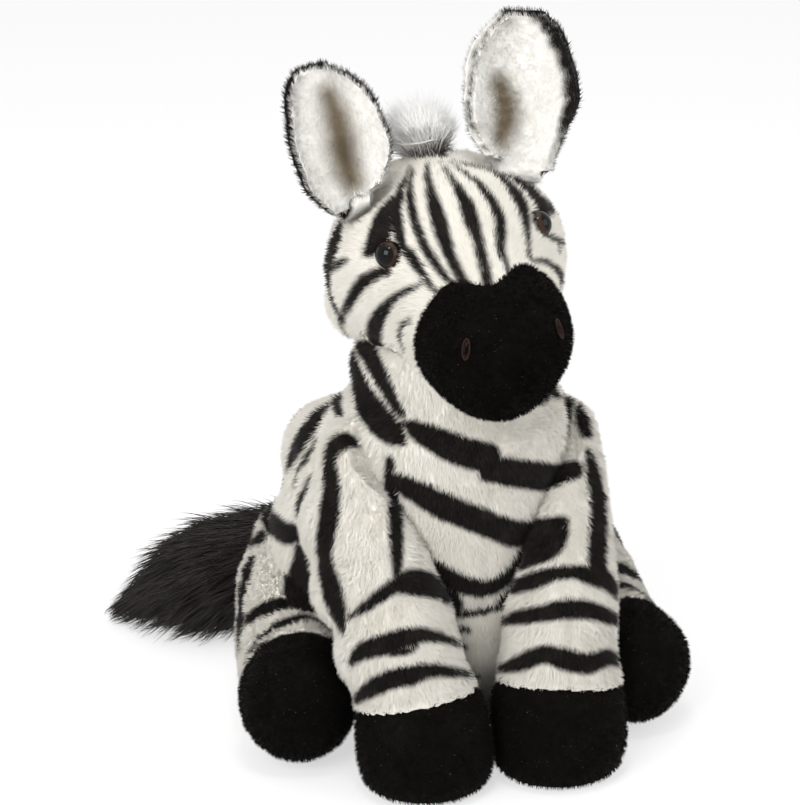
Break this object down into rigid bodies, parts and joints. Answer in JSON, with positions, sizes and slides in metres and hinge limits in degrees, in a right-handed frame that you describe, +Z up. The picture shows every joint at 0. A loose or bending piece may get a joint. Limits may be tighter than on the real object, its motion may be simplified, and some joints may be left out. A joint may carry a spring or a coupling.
{
  "type": "plush zebra",
  "caption": "Seated plush zebra with a turning head, floppy cupped ears, stuffed legs with black velour hooves, a bushy tail and a round forelock.",
  "frame": {"origin": "middle of the flat seat face, on the surface that the zebra sits on", "axes": "+Z up to the ears, -Y the way the chest faces, +X the zebra's left"},
  "size_m": [0.2677, 0.2775, 0.3635],
  "materials": {
    "striped_plush": "short pile plush, off-white with brownish black stripes",
    "white_plush": "short pile plush",
    "black_velour": "short dense velour",
    "black_pile": "long bushy pile",
    "white_pile": "long fluffy pile",
    "fibre_filling": "loose fibre",
    "bead_bag": "woven bag of beads",
    "nostril_satin": "satin",
    "eye_plastic": "polished",
    "washer_plastic": "moulded"
  },
  "bodies": {
    "torso": {"torso_cover_left": "striped_plush", "torso_cover_right": "striped_plush", "seat_panel": "white_plush", "torso_filling": "fibre_filling", "seat_bean_bag": "bead_bag"},
    "neck": {"neck_cover": "striped_plush", "neck_filling": "fibre_filling"},
    "head": {"head_cover_left": "striped_plush", "head_cover_right": "striped_plush", "muzzle_cover": "black_velour", "chin_cover": "black_velour", "head_filling": "fibre_filling", "forelock": "white_pile", "eye_left": "eye_plastic", "eye_right": "eye_plastic", "eye_washer_left": "washer_plastic", "eye_washer_right": "washer_plastic", "nostril_left": "nostril_satin", "nostril_right": "nostril_satin"},
    "left_ear": {"ear_back_left": "striped_plush", "ear_lining_left": "white_plush"},
    "right_ear": {"ear_back_right": "striped_plush", "ear_lining_right": "white_plush"},
    "left_front_leg": {"front_leg_cover_left": "striped_plush", "front_leg_filling_left": "fibre_filling", "front_hoof_wall_left": "black_velour", "front_hoof_sole_left": "black_velour"},
    "right_front_leg": {"front_leg_cover_right": "striped_plush", "front_leg_filling_right": "fibre_filling", "front_hoof_wall_right": "black_velour", "front_hoof_sole_right": "black_velour"},
    "left_hind_leg": {"hind_leg_cover_left": "striped_plush", "hind_leg_filling_left": "fibre_filling", "hind_hoof_wall_left": "black_velour", "hind_hoof_sole_left": "black_velour"},
    "right_hind_leg": {"hind_leg_cover_right": "striped_plush", "hind_leg_filling_right": "fibre_filling", "hind_hoof_wall_right": "black_velour", "hind_hoof_sole_right": "black_velour"},
    "tail": {"tail_pile": "black_pile", "tail_tape": "fibre_filling"}
  },
  "joints": [
    {"name": "head_nod", "type": "hinge", "parent": "torso", "child": "neck", "pos_m": [0, -0.038, 0.204], "axis": [1, 0, 0], "range_deg": [-15, 8], "stiffness_Nm_per_rad": 1.2},
    {"name": "head_turn", "type": "hinge", "parent": "neck", "child": "head", "pos_m": [0, -0.038, 0.204], "axis": [0, 0, 1], "range_deg": [-30, 30], "stiffness_Nm_per_rad": 0.6},
    {"name": "left_ear_flop", "type": "hinge", "parent": "head", "child": "left_ear", "pos_m": [0.0318, -0.03354, 0.29049], "axis": [0.9781, 0.1541, -0.1397], "range_deg": [-20, 20], "stiffness_Nm_per_rad": 0.06},
    {"name": "right_ear_flop", "type": "hinge", "parent": "head", "child": "right_ear", "pos_m": [-0.04649, -0.04177, 0.28361], "axis": [0.9497, 0.0486, 0.3093], "range_deg": [-20, 20], "stiffness_Nm_per_rad": 0.06},
    {"name": "left_front_leg_lift", "type": "hinge", "parent": "torso", "child": "left_front_leg", "pos_m": [0.05, -0.038, 0.152], "axis": [1, 0, 0], "range_deg": [-30, 0], "stiffness_Nm_per_rad": 0.4},
    {"name": "right_front_leg_lift", "type": "hinge", "parent": "torso", "child": "right_front_leg", "pos_m": [-0.05, -0.038, 0.152], "axis": [1, 0, 0], "range_deg": [-30, 0], "stiffness_Nm_per_rad": 0.4},
    {"name": "left_hind_leg_lift", "type": "hinge", "parent": "torso", "child": "left_hind_leg", "pos_m": [0.06, 0.012, 0.042], "axis": [-0.8336, -0.275, 0.4791], "range_deg": [0, 25], "stiffness_Nm_per_rad": 0.4},
    {"name": "right_hind_leg_lift", "type": "hinge", "parent": "torso", "child": "right_hind_leg", "pos_m": [-0.06, 0.012, 0.042], "axis": [-0.8336, 0.275, -0.4791], "range_deg": [0, 25], "stiffness_Nm_per_rad": 0.4},
    {"name": "tail_swing", "type": "hinge", "parent": "torso", "child": "tail", "pos_m": [0, 0.08648, 0.046], "axis": [0, 0, 1], "range_deg": [-40, 0], "stiffness_Nm_per_rad": 0.15}
  ]
}
